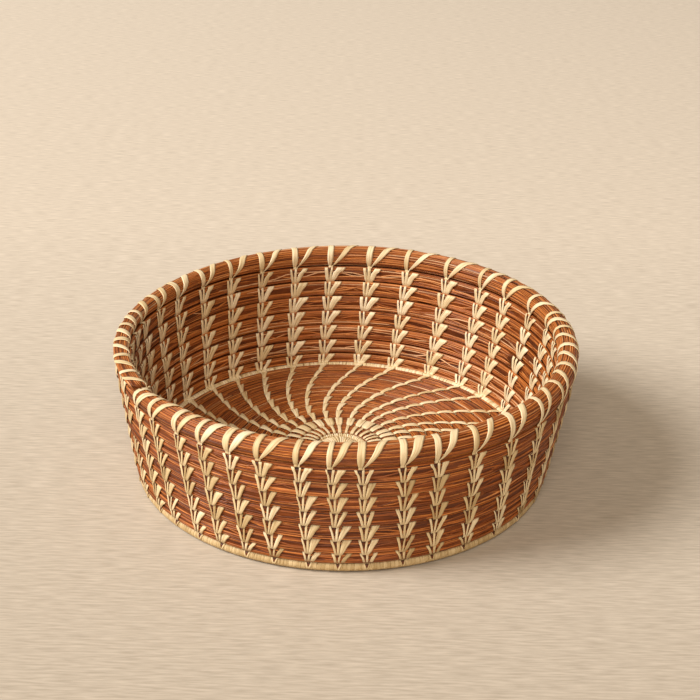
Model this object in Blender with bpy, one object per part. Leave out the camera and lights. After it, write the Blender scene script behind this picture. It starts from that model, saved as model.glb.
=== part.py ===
"""Round coiled basket: a coiled floor, a wrapped corner ring, a flaring coiled wall and a thicker
rim, held together by 37 lines of stitching that run from the middle of the floor up the inside of
the wall, over the rim and down the outside. Metres, +Z up, standing on Z = 0, front at -Y.
The origin is below the middle of the rim."""

import math

import bmesh
import bpy
from mathutils import Vector
from mathutils.kdtree import KDTree

MM = 0.001

# Overall sizes
rim_diameter = 254.0 * MM
rim_top_height = 79.4 * MM
base_diameter = 232.6 * MM
floor_top_height = 7.4 * MM

# Hand-made unevenness: the rim stands higher at the back and at the right, the base sits off centre
rim_rise_back = 3.5 * MM
rim_rise_right = 1.55 * MM
base_shift_right = -1.9 * MM
base_shift_back = -1.5 * MM

# Coils
coil_gap = 0.5 * MM
seam_gap = 0.3 * MM
button_radius = 15.2 * MM
button_height = 6.9 * MM
button_turns = 2
button_first_angle = 120.0
floor_rows = 10
corner_width = 8.2 * MM
corner_height = 6.4 * MM
corner_tail = 1.0 * MM
wall_thickness = 8.7 * MM
wall_rows = 7
rim_width = 10.7 * MM
flat_share = 0.55

# Heights of the wall's lowest row and of the rim's coil, at the front and at the back
first_height_front = 6.3 * MM
first_height_back = 7.2 * MM
rim_height_front = 10.52 * MM
rim_height_back = 12.08 * MM

# The loops of a coil have their points at the same angles, so that the loops lie side by side
loop_points = 24
loop_step = 360.0 / loop_points

# The wall's coil ends at the left and gains its height in two places, in degrees past that end
wall_end_angle = 205.0
right_climb = (116.0, 167.0)
left_climb = (305.0, 360.0)
wall_start = -45.0
rim_blend = 14.0
rim_end_share = 0.8
rim_least_width_share = 0.75
thin_coil_share = 0.45

# The floor's coil gains its width at the front, in degrees past its first point
floor_start_angle = 205.0
floor_climb = 135.0
floor_first = 45.0
floor_last = 105.0

# The corner ring's two tails lie one over the other at the left
corner_start_angle = 160.0
corner_overlap = 30.0

# Stitching
strip_clearance = 0.3 * MM
strip_thickness = 0.8 * MM
base_half_width = 0.9 * MM
short_leg_reach = 2.2 * MM
long_leg_reach = 5.0 * MM
rim_half_width = 2.6 * MM
row_edge = 0.9 * MM
row_edge_share = 0.2
outer_foot_rise = 0.4 * MM
inner_foot_rise = 2.2 * MM
lean_per_row = 0.4
swirl_start_inset = 2.5 * MM
swirl_turn = 21.648
swirl_stop_radius = 40.0 * MM
ray_inner_radius = 18.5 * MM
ray_outer_half_width = 1.1 * MM
ray_inner_half_width = 0.6 * MM
ray_place_shares = (1.0, 0.78, 0.55, 0.33, 0.15, 0.0)
first_column_angle = 3.5

# Gaps between one stitch line and the next, counter-clockwise from the right side
column_gap_shares = (
    8.5, 11.5, 12.2, 9.9, 12.5, 13.2, 11.9, 12.2, 11.2, 10.9, 10.8, 10.6, 11.1,
    9.6, 10.1, 7.8, 8.5, 9.0, 9.0, 8.7, 7.5, 9.1, 7.2, 7.5, 7.3, 8.8,
    7.2, 6.7, 9.1, 7.8, 9.3, 10.4, 10.6, 10.3, 10.5, 11.0, 10.5,
)

# Stitching under the floor
under_clearance = 0.15 * MM
under_thickness = 0.6 * MM
under_hub_radius = 13.0 * MM
under_arm_half_width = 0.95 * MM
under_arm_inner_half_width = 0.5 * MM
under_arm_end_inset = 3.0 * MM
under_place_shares = (0.0, 0.2, 0.45, 0.72, 1.0)

# Sizes that follow from the ones above
rim_radius = rim_diameter / 2
base_radius = base_diameter / 2
corner_inner_radius = base_radius - corner_width
corner_middle_height = corner_height / 2
floor_bottom_height = under_clearance + under_thickness + strip_clearance
floor_pitch = (corner_inner_radius - button_radius) / floor_rows
half_gap = coil_gap / 2
swirl_start_radius = corner_inner_radius - swirl_start_inset

# Tops of the lowest row, and the height of each row above it
first_row_front = corner_height + first_height_front
first_row_back = corner_height + first_height_back
rows_above = wall_rows - 1
row_front = (rim_top_height - rim_rise_back - rim_height_front - first_row_front) / rows_above
row_back = (rim_top_height + rim_rise_back - rim_height_back - first_row_back) / rows_above


def smooth(share):
    share = min(max(share, 0.0), 1.0)
    return share * share * (3 - 2 * share)


def climbed(angle, climb):
    return smooth((angle - climb[0]) / (climb[1] - climb[0]))


def rim_top(angle):
    turn = math.radians(angle)
    return rim_top_height + rim_rise_back * math.sin(turn) + rim_rise_right * math.cos(turn)


def rim_middle(angle):
    return rim_top(angle) - rim_width / 2


def height_share(height, angle):
    """0 at the base and 1 at the middle of the rim's coil."""
    share = (height - corner_middle_height) / (rim_middle(angle) - corner_middle_height)
    return max(share, 0.0)


def outer_radius(height, angle):
    return base_radius + (rim_radius - base_radius) * height_share(height, angle)


def place(radius, angle, height):
    """A point of the basket: the base is a little off the rim's axis, and the wall leans to it."""
    shift = max(1 - height_share(height, angle), 0.0)
    turn = math.radians(angle)
    return Vector((
        radius * math.cos(turn) + base_shift_right * shift,
        radius * math.sin(turn) + base_shift_back * shift,
        height,
    ))


def material(name, colour, roughness):
    made = bpy.data.materials.new(name)
    made.use_nodes = True
    shader = made.node_tree.nodes["Principled BSDF"]
    shader.inputs["Base Color"].default_value = (*colour, 1.0)
    shader.inputs["Roughness"].default_value = roughness
    shader.inputs["Metallic"].default_value = 0.0
    return made


def sweep(name, rings, finish, smooth_angle):
    """One closed body through rings of points, with a flat end on the first and the last ring."""
    bm = bmesh.new()
    rows = [[bm.verts.new(point) for point in ring] for ring in rings]
    sides = len(rings[0])
    for near, far in zip(rows, rows[1:]):
        for side in range(sides):
            other = (side + 1) % sides
            bm.faces.new((near[side], near[other], far[other], far[side]))
    bm.faces.new(rows[0])
    bm.faces.new(rows[-1])
    return finish_piece(name, bm, finish, smooth_angle)


def finish_piece(name, bm, finish, smooth_angle):
    bmesh.ops.recalc_face_normals(bm, faces=bm.faces)
    mesh = bpy.data.meshes.new(name)
    bm.to_mesh(mesh)
    bm.free()
    mesh.shade_smooth()
    mesh.set_sharp_from_angle(angle=math.radians(smooth_angle))
    mesh.materials.append(finish)
    piece = bpy.data.objects.new(name, mesh)
    bpy.context.collection.objects.link(piece)
    return piece


def stacked_section(inner, outer, bottom, top, angle):
    """Six points with flats above and below, for coils that lie on each other."""
    middle = (inner + outer) / 2
    half = (outer - inner) / 2
    level = (bottom + top) / 2
    across = (
        (half, level), (half * flat_share, top), (-half * flat_share, top),
        (-half, level), (-half * flat_share, bottom), (half * flat_share, bottom),
    )
    return [place(middle + out, angle, height) for out, height in across]


def nested_section(inner, outer, bottom, top, angle):
    """Six points with flats at both sides, for coils that lie beside each other."""
    middle = (inner + outer) / 2
    level = (bottom + top) / 2
    half = (top - bottom) / 2
    across = (
        (outer, level + half * flat_share), (middle, top), (inner, level + half * flat_share),
        (inner, level - half * flat_share), (middle, bottom), (outer, level - half * flat_share),
    )
    return [place(radius, angle, height) for radius, height in across]


def coil_angles(first, last):
    """The loop angles between two ends, which may themselves lie between loop angles."""
    count = math.floor(first / loop_step) + 1
    angles = [first]
    while count * loop_step < last:
        if count * loop_step > first:
            angles.append(count * loop_step)
        count += 1
    angles.append(last)
    return angles


def least_gap(name, rings, angles):
    """Least distance between points of the tube that are at least half a loop apart."""
    points = []
    for ring, angle in zip(rings, angles):
        for near, far in zip(ring, ring[1:] + ring[:1]):
            points.append((near, angle))
            points.append((near.lerp(far, 0.5), angle))
    tree = KDTree(len(points))
    for index, (point, _) in enumerate(points):
        tree.insert(point, index)
    tree.balance()
    least = rim_diameter
    for point, angle in points:
        for _, index, distance in tree.find_range(point, floor_pitch / 2):
            if abs(points[index][1] - angle) > 180.0 and distance < least:
                least = distance
    print(f"{name}: least gap to itself {least / MM:.2f} mm")


# The button in the middle of the floor

def button_outline(angle):
    return min(angle / (360.0 * button_turns), 1.0) * button_radius


def button_section(angle):
    inner = max(button_outline(angle - 360.0), 0.0) + half_gap
    outer = button_outline(angle) - half_gap
    thin = min((outer - inner) / (button_radius / button_turns - coil_gap), 1.0)
    half = (button_height - floor_bottom_height) / 2
    level = (button_height + floor_bottom_height) / 2
    reach = half * (thin_coil_share + (1 - thin_coil_share) * thin)
    return nested_section(inner, outer, level - reach, level + reach, floor_start_angle + angle)


def make_button():
    last = 360.0 * (button_turns + 1) - button_first_angle
    angles = coil_angles(button_first_angle, last)
    rings = [button_section(angle) for angle in angles]
    least_gap("center_button", rings, angles)
    sweep("center_button", rings, raffia, 80)


# The floor

def floor_line(row, angle):
    """Inner edge of a row of the floor, at an angle past the floor coil's start."""
    line = button_radius + floor_pitch * (row + climbed(angle, (0.0, floor_climb)))
    return min(max(line, button_radius), corner_inner_radius)


def floor_section(angle):
    row = math.floor(angle / 360.0)
    past = angle - 360.0 * row
    inner = floor_line(row - 1, past) + half_gap
    outer = floor_line(row, past) - half_gap
    thin = min((outer - inner) / (floor_pitch - coil_gap), 1.0)
    half = (floor_top_height - floor_bottom_height) / 2
    level = (floor_top_height + floor_bottom_height) / 2
    reach = half * (thin_coil_share + (1 - thin_coil_share) * thin)
    return nested_section(inner, outer, level - reach, level + reach, floor_start_angle + angle)


def make_floor():
    angles = coil_angles(floor_first, 360.0 * floor_rows + floor_last)
    rings = [floor_section(angle) for angle in angles]
    least_gap("floor_coil", rings, angles)
    sweep("floor_coil", rings, needles, 80)


# The wrapped ring at the corner, on which the basket stands

def corner_section(angle):
    start = corner_tail + (corner_height - half_gap - corner_tail) * smooth(angle / corner_overlap)
    if angle < 360.0:
        bottom = 0.0
        top = start
    else:
        under = angle - 360.0
        bottom = corner_tail + coil_gap
        bottom += (corner_height - half_gap - corner_tail) * smooth(under / corner_overlap)
        top = corner_height - half_gap
    inner = corner_inner_radius + half_gap
    return stacked_section(inner, base_radius, bottom, top, corner_start_angle + angle)


def make_corner():
    angles = coil_angles(0.0, 360.0 + corner_overlap / 2)
    rings = [corner_section(angle) for angle in angles]
    least_gap("corner_coil", rings, angles)
    sweep("corner_coil", rings, raffia, 80)


# The wall and its rim

def wall_line(row, past):
    """Top of a row of the wall, at an angle past the coil's end. Row 0 is the coil's thin start."""
    if row < 0:
        return corner_height
    if row == 0:
        return corner_height + (first_row_front - corner_height) * climbed(past, left_climb)
    front = first_row_front + row_front * (row - 1)
    back = first_row_back + row_back * (row - 1)
    rise = (back - front) * climbed(past, right_climb)
    return front + rise + (front + row_front - back) * climbed(past, left_climb)


def wall_section(angle):
    row = math.floor(angle / 360.0) + 1
    past = angle - 360.0 * (row - 1)
    bottom = wall_line(row - 1, past) + half_gap
    top = wall_line(row, past) - half_gap
    turn = wall_end_angle + angle
    thin = min((top - bottom) / (first_row_front - corner_height - coil_gap), 1.0)
    half = wall_thickness / 2 * (thin_coil_share + (1 - thin_coil_share) * thin)
    middle = outer_radius((bottom + top) / 2, turn) - wall_thickness / 2
    return stacked_section(middle - half, middle + half, bottom, top, turn)


def rim_sizes(past):
    """Inner and outer radius, bottom and top of the rim's coil."""
    turn = wall_end_angle + past
    bottom = wall_line(wall_rows, past)
    start = wall_line(wall_rows, 360.0) - half_gap
    top = rim_top(turn) + (start - rim_top(turn)) * (1 - smooth(past / rim_blend))
    fade = smooth((past - 360.0 + rim_blend) / rim_blend)
    top = bottom + (top - bottom) * (1 - (1 - rim_end_share) * fade)
    start_width = wall_thickness + (rim_width - wall_thickness) * smooth(past / rim_blend)
    width = start_width * max(min((top - bottom) / row_front, 1.0), rim_least_width_share)
    outer = outer_radius((bottom + top) / 2, turn)
    return outer - width, outer, bottom + half_gap, top


def rim_sizes_between(past):
    """The same sizes on the straight run between two of the loop's points."""
    first = math.floor(past / loop_step) * loop_step
    share = (past - first) / loop_step
    ends = zip(rim_sizes(first), rim_sizes(first + loop_step))
    return [start + (end - start) * share for start, end in ends]


def rim_section(past):
    inner, outer, bottom, top = rim_sizes(past)
    return stacked_section(inner, outer, bottom, top, wall_end_angle + past)


def make_wall():
    seam = math.degrees(seam_gap / rim_radius)
    angles = coil_angles(wall_start, 360.0 * wall_rows - seam)
    rings = [wall_section(angle) for angle in angles]
    least_gap("wall_coil", rings, angles)
    sweep("wall_coil", rings, needles, 80)

    angles = coil_angles(0.0, 360.0)
    rings = [rim_section(angle) for angle in angles]
    least_gap("rim_coil", rings, angles)
    sweep("rim_coil", rings, needles, 80)


# The lines of stitching

def facet_share(angle):
    """A loop's sides are straight, so between its points the coil lies this much further in."""
    past = (angle - wall_end_angle) % loop_step - loop_step / 2
    return math.cos(math.radians(loop_step / 2)) / math.cos(math.radians(past))


def outer_facet_share(low, high):
    if math.floor((low - wall_end_angle) / loop_step) != math.floor((high - wall_end_angle) / loop_step):
        return 1.0
    return max(facet_share(low), facet_share(high))


def inner_facet_share(low, high):
    return min(facet_share(low), facet_share((low + high) / 2), facet_share(high))


def strip_ring(radius, height, low, high, out, up):
    """Three points of a strip: its two edges against the coil, and its ridge."""
    edges = [place(radius, low, height), place(radius, high, height)]
    ridge = place(radius + out * strip_thickness, (low + high) / 2, height + up * strip_thickness)
    return edges + [ridge]


def side_ring(height, angle, low_reach, high_reach, side, least_outer=0.0):
    """A ring on the wall: side is 1 on its outside and -1 on its inside."""
    radius = max(outer_radius(height, angle), least_outer)
    if side < 0:
        radius -= wall_thickness
    low = angle - math.degrees(low_reach / radius)
    high = angle + math.degrees(high_reach / radius)
    if side > 0:
        radius = radius * outer_facet_share(low, high) + strip_clearance
    else:
        radius = radius * inner_facet_share(low, high) - strip_clearance
    return strip_ring(radius, height, low, high, side, 0)


def rows_at(angle):
    past = (angle - wall_end_angle) % 360.0
    return [wall_line(row, past) for row in range(wall_rows + 1)]


def column_angle(angle, row):
    return angle + lean_per_row * (wall_rows - row)


def swirl(radius):
    """Degrees by which a line on the floor has turned from its foot at the corner."""
    inwards = swirl_start_radius - max(radius, swirl_stop_radius)
    return swirl_turn * inwards / (swirl_start_radius - swirl_stop_radius)


def wall_rings(angle, side):
    """Rings up one side of the wall: a narrow foot and a wide top for each row."""
    rings = []
    reaches = (short_leg_reach, long_leg_reach) if side > 0 else (long_leg_reach, short_leg_reach)
    lines = rows_at(angle)
    foot = corner_middle_height + outer_foot_rise if side > 0 else corner_height + inner_foot_rise
    for row in range(1, wall_rows + 1):
        low_angle = column_angle(angle, row - 1)
        high_angle = column_angle(angle, row)
        bottom = foot if row == 1 else lines[row - 1] + row_edge
        rings.append(side_ring(bottom, low_angle, base_half_width, base_half_width, side))
        rings.append(side_ring(lines[row] - row_edge, high_angle, *reaches, side))
    return rings


def over_rim_rings(angle):
    past = (angle - wall_end_angle) % 360.0
    inner, outer, bottom, top = rim_sizes_between(past)
    middle = (inner + outer) / 2
    level = (bottom + top) / 2
    half = (outer - inner) / 2
    shoulder = half * flat_share
    reach = math.degrees(rim_half_width / rim_radius)
    wide = (angle - reach, angle + reach)
    out_share = outer_facet_share(*wide)
    in_share = inner_facet_share(*wide)
    clear = strip_clearance * math.sqrt(2)
    low = bottom + min(row_edge, (top - bottom) * row_edge_share)
    low_share = flat_share + (1 - flat_share) * (low - bottom) / (level - bottom)
    low_outer = middle + half * low_share + clear
    rings = [side_ring(low, angle, base_half_width, base_half_width, 1, low_outer)]
    rings.append(strip_ring(outer * out_share + clear, level, *wide, 1, 0))
    rings.append(strip_ring((middle + shoulder) * out_share + clear, top + clear, *wide, 0.5, 0.8))
    rings.append(strip_ring((middle - shoulder) * in_share - clear, top + clear, *wide, -0.5, 0.8))
    rings.append(strip_ring(inner * in_share - clear, level, *wide, -1, 0))
    lowest = side_ring(low, angle, base_half_width, base_half_width, -1)
    return rings + [lowest]


def floor_rings(angle):
    """Rings from the corner along the top of the floor towards the button."""
    rings = []
    foot = column_angle(angle, 0)
    for share in ray_place_shares:
        radius = ray_inner_radius + (swirl_start_radius - ray_inner_radius) * share
        half = ray_inner_half_width + (ray_outer_half_width - ray_inner_half_width) * share
        reach = math.degrees(half / radius)
        turned = foot + swirl(radius)
        height = floor_top_height + strip_clearance
        rings.append(strip_ring(radius, height, turned - reach, turned + reach, 0, 1))
    return rings


def make_columns():
    scale = 360.0 / sum(column_gap_shares)
    angle = first_column_angle
    for number, gap_share in enumerate(column_gap_shares, start=1):
        rings = wall_rings(angle, 1) + over_rim_rings(angle)
        rings += wall_rings(angle, -1)[::-1] + floor_rings(angle)
        sweep(f"stitch_line_{number:02d}", rings, raffia, 30)
        angle += gap_share * scale


def make_under_stitching():
    """A hub under the button with one arm for each line, below the floor's coil."""
    bm = bmesh.new()
    scale = 360.0 / sum(column_gap_shares)
    level = under_clearance
    outermost = corner_inner_radius - under_arm_end_inset
    angle = first_column_angle
    hub = []
    for gap_share in column_gap_shares:
        foot = column_angle(angle, 0)
        edge = None
        for share in under_place_shares:
            radius = under_hub_radius + (outermost - under_hub_radius) * share
            half = under_arm_inner_half_width
            half += (under_arm_half_width - under_arm_inner_half_width) * share
            turned = foot + swirl(radius)
            reach = math.degrees(half / radius)
            low = bm.verts.new(place(radius, turned - reach, level))
            high = bm.verts.new(place(radius, turned + reach, level))
            if edge:
                bm.faces.new((edge[0], low, high, edge[1]))
            else:
                hub += [low, high]
            edge = (low, high)
        angle += gap_share * scale
    bm.faces.new(hub)
    made = bmesh.ops.extrude_face_region(bm, geom=bm.faces[:])
    raised = [item for item in made["geom"] if isinstance(item, bmesh.types.BMVert)]
    bmesh.ops.translate(bm, verts=raised, vec=(0, 0, under_thickness))
    finish_piece("under_stitching", bm, raffia, 30)


for old in list(bpy.data.objects):
    bpy.data.objects.remove(old, do_unlink=True)

needles = material("pine_needle", (0.30, 0.11, 0.045), 0.45)
raffia = material("raffia", (0.78, 0.62, 0.36), 0.6)

make_button()
make_floor()
make_corner()
make_wall()
make_columns()
make_under_stitching()
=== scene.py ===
import math
import random

import bmesh
import bpy
from mathutils import Matrix, Vector


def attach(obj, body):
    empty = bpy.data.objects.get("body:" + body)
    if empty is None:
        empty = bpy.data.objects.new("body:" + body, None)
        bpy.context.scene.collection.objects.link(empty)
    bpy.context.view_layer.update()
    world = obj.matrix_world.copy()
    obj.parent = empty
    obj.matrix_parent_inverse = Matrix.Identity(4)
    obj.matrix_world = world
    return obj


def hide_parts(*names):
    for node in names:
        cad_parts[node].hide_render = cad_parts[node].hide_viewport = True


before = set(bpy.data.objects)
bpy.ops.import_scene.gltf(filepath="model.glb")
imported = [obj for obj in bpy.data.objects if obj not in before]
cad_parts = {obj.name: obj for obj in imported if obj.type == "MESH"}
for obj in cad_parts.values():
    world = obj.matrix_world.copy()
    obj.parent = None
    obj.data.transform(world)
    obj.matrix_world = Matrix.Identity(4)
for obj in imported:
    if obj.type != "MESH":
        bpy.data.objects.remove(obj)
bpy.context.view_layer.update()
mm = 0.001
print("frame loaded:", len(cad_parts), "nodes")

# The basket's shape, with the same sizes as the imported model
basket = {
    "rimDiameter": 254.0 * mm,
    "rimTopHeight": 79.4 * mm,
    "rimWidth": 10.7 * mm,
    "rimRiseBack": 3.5 * mm,
    "rimRiseRight": 1.55 * mm,
    "baseDiameter": 232.6 * mm,
    "baseShiftRight": -1.9 * mm,
    "baseShiftBack": -1.5 * mm,
    "cornerWidth": 8.2 * mm,
    "cornerHeight": 6.4 * mm,
    "cornerBottom": 0.25 * mm,
    "wallThickness": 8.7 * mm,
    "wallRows": 7,
    "firstRowFront": 12.7 * mm,
    "rowFront": 8.78 * mm,
    "firstRowBack": 13.6 * mm,
    "rowBack": 9.54 * mm,
    "endAngle": 205.0,  # where the coil ends, at the left front
    "rightClimb": (116.0, 167.0),  # degrees past that end
    "leftClimb": (305.0, 360.0),
    "wallStart": -45.0,
    "rimBlend": 14.0,
    "rimPast": 8.0,  # degrees that the rim's start and end lie past the others
    "rimEndShare": 0.8,
    "rimLeastWidthShare": 0.75,
    "thinShare": 0.45,
    "buttonRadius": 15.2 * mm,
    "buttonHeight": 6.9 * mm,
    "buttonTurns": 2,
    "floorRows": 10,
    "floorBottom": 1.05 * mm,
    "floorTop": 7.4 * mm,
    "floorFirst": 45.0,
    "floorLast": 105.0,
    "floorClimb": 135.0,
}
rimRadius = basket["rimDiameter"] / 2
baseRadius = basket["baseDiameter"] / 2
cornerInnerRadius = baseRadius - basket["cornerWidth"]
floorPitch = (cornerInnerRadius - basket["buttonRadius"]) / basket["floorRows"]
fullTurn = 360.0
halfTurn = fullTurn / 2

# The lines of stitching, counter-clockwise from the right side
columns = {
    "first": 3.5,
    "leanPerRow": 0.4,
    "wander": 0.2,  # degrees
    "wanderByAngle": 7.0,
    "wanderByRow": 2.3,
    "swirlPerMm": 0.33,
    "swirlStart": 105.6 * mm,
    "swirlStop": 40.0 * mm,
    "swirlLag": 1.4,  # degrees, most near the wall
    "swirlLagEnd": 10.0 * mm,
    "gapShares": (
        8.5, 11.5, 12.2, 9.9, 12.5, 13.2, 11.9, 12.2, 11.2, 10.9, 10.8, 10.6, 11.1,
        9.6, 10.1, 7.8, 8.5, 9.0, 9.0, 8.7, 7.5, 9.1, 7.2, 7.5, 7.3, 8.8,
        7.2, 6.7, 9.1, 7.8, 9.3, 10.4, 10.6, 10.3, 10.5, 11.0, 10.5,
    ),
}
columnAngles = []
nextAngle = columns["first"]
for gapShare in columns["gapShares"]:
    columnAngles.append(nextAngle)
    nextAngle += gapShare * fullTurn / sum(columns["gapShares"])
stitchNodes = [f"stitch_line_{number:02d}" for number in range(1, len(columnAngles) + 1)]


def smooth(share):
    share = min(max(share, 0.0), 1.0)
    return share * share * (3 - 2 * share)


def blend(start, end, share):
    return start + (end - start) * share


def climbed(angle, climb):
    return smooth((angle - climb[0]) / (climb[1] - climb[0]))


def heightShare(height, angle):  # 0 at the base, 1 at the middle of the rim
    turn = math.radians(angle)
    rimTop = basket["rimTopHeight"]
    rimTop += basket["rimRiseBack"] * math.sin(turn) + basket["rimRiseRight"] * math.cos(turn)
    low = basket["cornerHeight"] / 2
    return max((height - low) / (rimTop - basket["rimWidth"] / 2 - low), 0.0)


def outerRadius(height, angle):
    return blend(baseRadius, rimRadius, heightShare(height, angle))


def place(radius, angle, height):  # the base is a little off the rim's axis
    shift = max(1 - heightShare(height, angle), 0.0)
    turn = math.radians(angle)
    return Vector((
        radius * math.cos(turn) + basket["baseShiftRight"] * shift,
        radius * math.sin(turn) + basket["baseShiftBack"] * shift,
        height,
    ))


def wallLine(row, past):  # the top of a row, in degrees past the coil's end
    first = basket["firstRowFront"]
    if row < 0:
        return basket["cornerHeight"]
    if row == 0:
        return blend(basket["cornerHeight"], first, climbed(past, basket["leftClimb"]))
    front = first + basket["rowFront"] * (row - 1)
    back = basket["firstRowBack"] + basket["rowBack"] * (row - 1)
    rise = (back - front) * climbed(past, basket["rightClimb"])
    return front + rise + (front + basket["rowFront"] - back) * climbed(past, basket["leftClimb"])


# Each coil is a dictionary with its outline at an angle along it: inner, outer, bottom, top

def wallSizes(angle):
    row = min(math.floor(angle / fullTurn), basket["wallRows"]) + 1
    past = angle - fullTurn * (row - 1)
    bottom = wallLine(row - 1, past)
    turn = basket["endAngle"] + past
    if row <= basket["wallRows"]:
        top = wallLine(row, past)
        fullHeight = basket["firstRowFront"] - basket["cornerHeight"]
        thin = blend(basket["thinShare"], 1.0, min((top - bottom) / fullHeight, 1.0))
        width = basket["wallThickness"] * thin
        outer = outerRadius((bottom + top) / 2, turn) - (basket["wallThickness"] - width) / 2
        return outer - width, outer, bottom, top
    rise = math.radians(turn)
    rimTop = basket["rimTopHeight"]
    rimTop += basket["rimRiseBack"] * math.sin(rise) + basket["rimRiseRight"] * math.cos(rise)
    start = wallLine(basket["wallRows"], fullTurn)
    grown = smooth((past - basket["rimPast"]) / basket["rimBlend"])
    top = blend(start, rimTop, grown)
    fade = smooth((past - basket["rimPast"] - fullTurn + basket["rimBlend"]) / basket["rimBlend"])
    top = bottom + (top - bottom) * blend(1.0, basket["rimEndShare"], fade)
    width = blend(basket["wallThickness"], basket["rimWidth"], grown)
    width *= max(min((top - bottom) / basket["rowFront"], 1.0), basket["rimLeastWidthShare"])
    outer = outerRadius((bottom + top) / 2, turn)
    return outer - width, outer, bottom, top


def floorLine(row, past):
    line = basket["buttonRadius"] + floorPitch * (row + climbed(past, (0.0, basket["floorClimb"])))
    return min(max(line, basket["buttonRadius"]), cornerInnerRadius)


def floorSizes(angle):
    row = math.floor(angle / fullTurn)
    past = angle - fullTurn * row
    inner, outer = floorLine(row - 1, past), floorLine(row, past)
    thin = blend(basket["thinShare"], 1.0, min((outer - inner) / floorPitch, 1.0))
    level = (basket["floorTop"] + basket["floorBottom"]) / 2
    half = (basket["floorTop"] - basket["floorBottom"]) / 2 * thin
    return inner, outer, level - half, level + half


def buttonSizes(angle):
    pitch = basket["buttonRadius"] / basket["buttonTurns"]
    outer = min(angle / fullTurn * pitch, basket["buttonRadius"])
    inner = max(min(angle / fullTurn - 1, basket["buttonTurns"]) * pitch, 0.0)
    return inner, outer, basket["floorBottom"], basket["buttonHeight"]


def cornerSizes(angle):
    return cornerInnerRadius, baseRadius, basket["cornerBottom"], basket["cornerHeight"]


# The pale line between the floor and the wall
bead = {"inner": cornerInnerRadius - 2.6 * mm, "outer": cornerInnerRadius + 1.4 * mm,
        "bottom": 4.7 * mm, "top": 8.3 * mm}


def beadSizes(angle):
    return bead["inner"], bead["outer"], bead["bottom"], bead["top"]


wallCoil = {"sizes": wallSizes, "squareness": 6.0}
rimCoil = {"sizes": wallSizes, "squareness": 2.25}
floorCoil = {"sizes": floorSizes, "squareness": 3.6}
buttonCoil = {"sizes": buttonSizes, "squareness": 2.3}
cornerCoil = {"sizes": cornerSizes, "squareness": 2.2}
beadCoil = {"sizes": beadSizes, "squareness": 2.0}


def sizesAt(coil, angle):  # a coil's sizes are worked out once for each degree
    known = coil.setdefault("known", {})
    degree = math.floor(angle)
    for nearest in (degree, degree + 1):
        if nearest not in known:
            known[nearest] = coil["sizes"](nearest)
    part = angle - degree
    return [blend(start, end, part) for start, end in zip(known[degree], known[degree + 1])]


def outline(around, squareness):  # a point of a rounded square, each way from -1 to 1
    turn = math.radians(around)
    power = 2 / squareness
    out, up = math.cos(turn), math.sin(turn)
    return math.copysign(abs(out) ** power, out), math.copysign(abs(up) ** power, up)


# A point on a coil: around is 0 on its outside and 90 on its top, and lift goes off its surface
def coilPoint(coil, angle, around, lift=0.0, fill=1.0):
    inner, outer, bottom, top = sizesAt(coil, angle)
    out, up = outline(around, coil["squareness"])
    turn = math.radians(around)
    radius = (inner + outer) / 2 + (outer - inner) / 2 * out * fill + lift * math.cos(turn)
    height = (bottom + top) / 2 + (top - bottom) / 2 * up * fill + lift * math.sin(turn)
    return place(radius, basket["endAngle"] + angle, height)


# Arounds at given shares of the way along part of a coil's outline
def aroundsAt(coil, angle, shares, first=0.0, last=360.0):
    steps = 180
    inner, outer, bottom, top = sizesAt(coil, angle)
    tries = [blend(first, last, step / steps) for step in range(steps + 1)]
    lengths, length, before = [], 0.0, None
    for around in tries:
        out, up = outline(around, coil["squareness"])
        now = Vector((out * (outer - inner), up * (top - bottom)))
        length += (now - before).length if before else 0.0
        lengths.append(length)
        before = now
    found, at = [], 0
    for share in shares:
        while at < steps and lengths[at] < length * share:
            at += 1
        found.append(tries[at])
    return found


# Two edges between the nearest of some keys, each a share with a low and a high edge in millimetres
def edgesAt(keys, share):
    before = keys[0]
    for key in keys:
        if key[0] >= share:
            part = (share - before[0]) / (key[0] - before[0]) if key[0] > before[0] else 0.0
            return tuple(mm * blend(start, end, part) for start, end in zip(before[1:], key[1:]))
        before = key
    return tuple(mm * edge for edge in before[1:])


# Materials

def addNode(tree, kind, inputs=None, **facts):
    node = tree.nodes.new(kind)
    for fact, value in facts.items():
        setattr(node, fact, value)
    for name, value in (inputs or {}).items():
        if isinstance(value, bpy.types.NodeSocket):
            tree.links.new(value, node.inputs[name])
        else:
            node.inputs[name].default_value = value
    return node


def readAttribute(tree, name):
    return addNode(tree, "ShaderNodeAttribute", attribute_name=name).outputs["Fac"]


def addRamp(tree, source, stops):
    ramp = addNode(tree, "ShaderNodeValToRGB", {"Fac": source})
    elements = ramp.color_ramp.elements
    for index, (position, colour) in enumerate(stops):
        element = elements[index] if index < 2 else elements.new(position)
        element.position = position
        element.color = (*colour, 1.0)
    return ramp.outputs["Color"]


def mixColours(tree, kind, share, first, second):
    mix = tree.nodes.new("ShaderNodeMix")
    mix.data_type = "RGBA"
    mix.blend_type = kind
    sockets = {0: share, 6: first, 7: second}  # its colour sockets, after those for other kinds
    for index, value in sockets.items():
        socket = mix.inputs[index]
        if isinstance(value, bpy.types.NodeSocket):
            tree.links.new(value, socket)
        else:
            socket.default_value = value
    return mix.outputs[2]


def addBump(tree, shader, height, look):
    bump = addNode(tree, "ShaderNodeBump", {"Height": height, "Strength": look["bumpStrength"],
                                            "Distance": look["bumpDistance"]})
    tree.links.new(bump.outputs["Normal"], shader.inputs["Normal"])


def startMaterial(name):
    material = bpy.data.materials.new(name)
    material.use_nodes = True
    return material, material.node_tree, material.node_tree.nodes["Principled BSDF"]


# Noise drawn out along a strand, and different on each strand. Its pattern has a scale across the
# strand, one along it and a detail.
toneScale = 97.0


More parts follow.
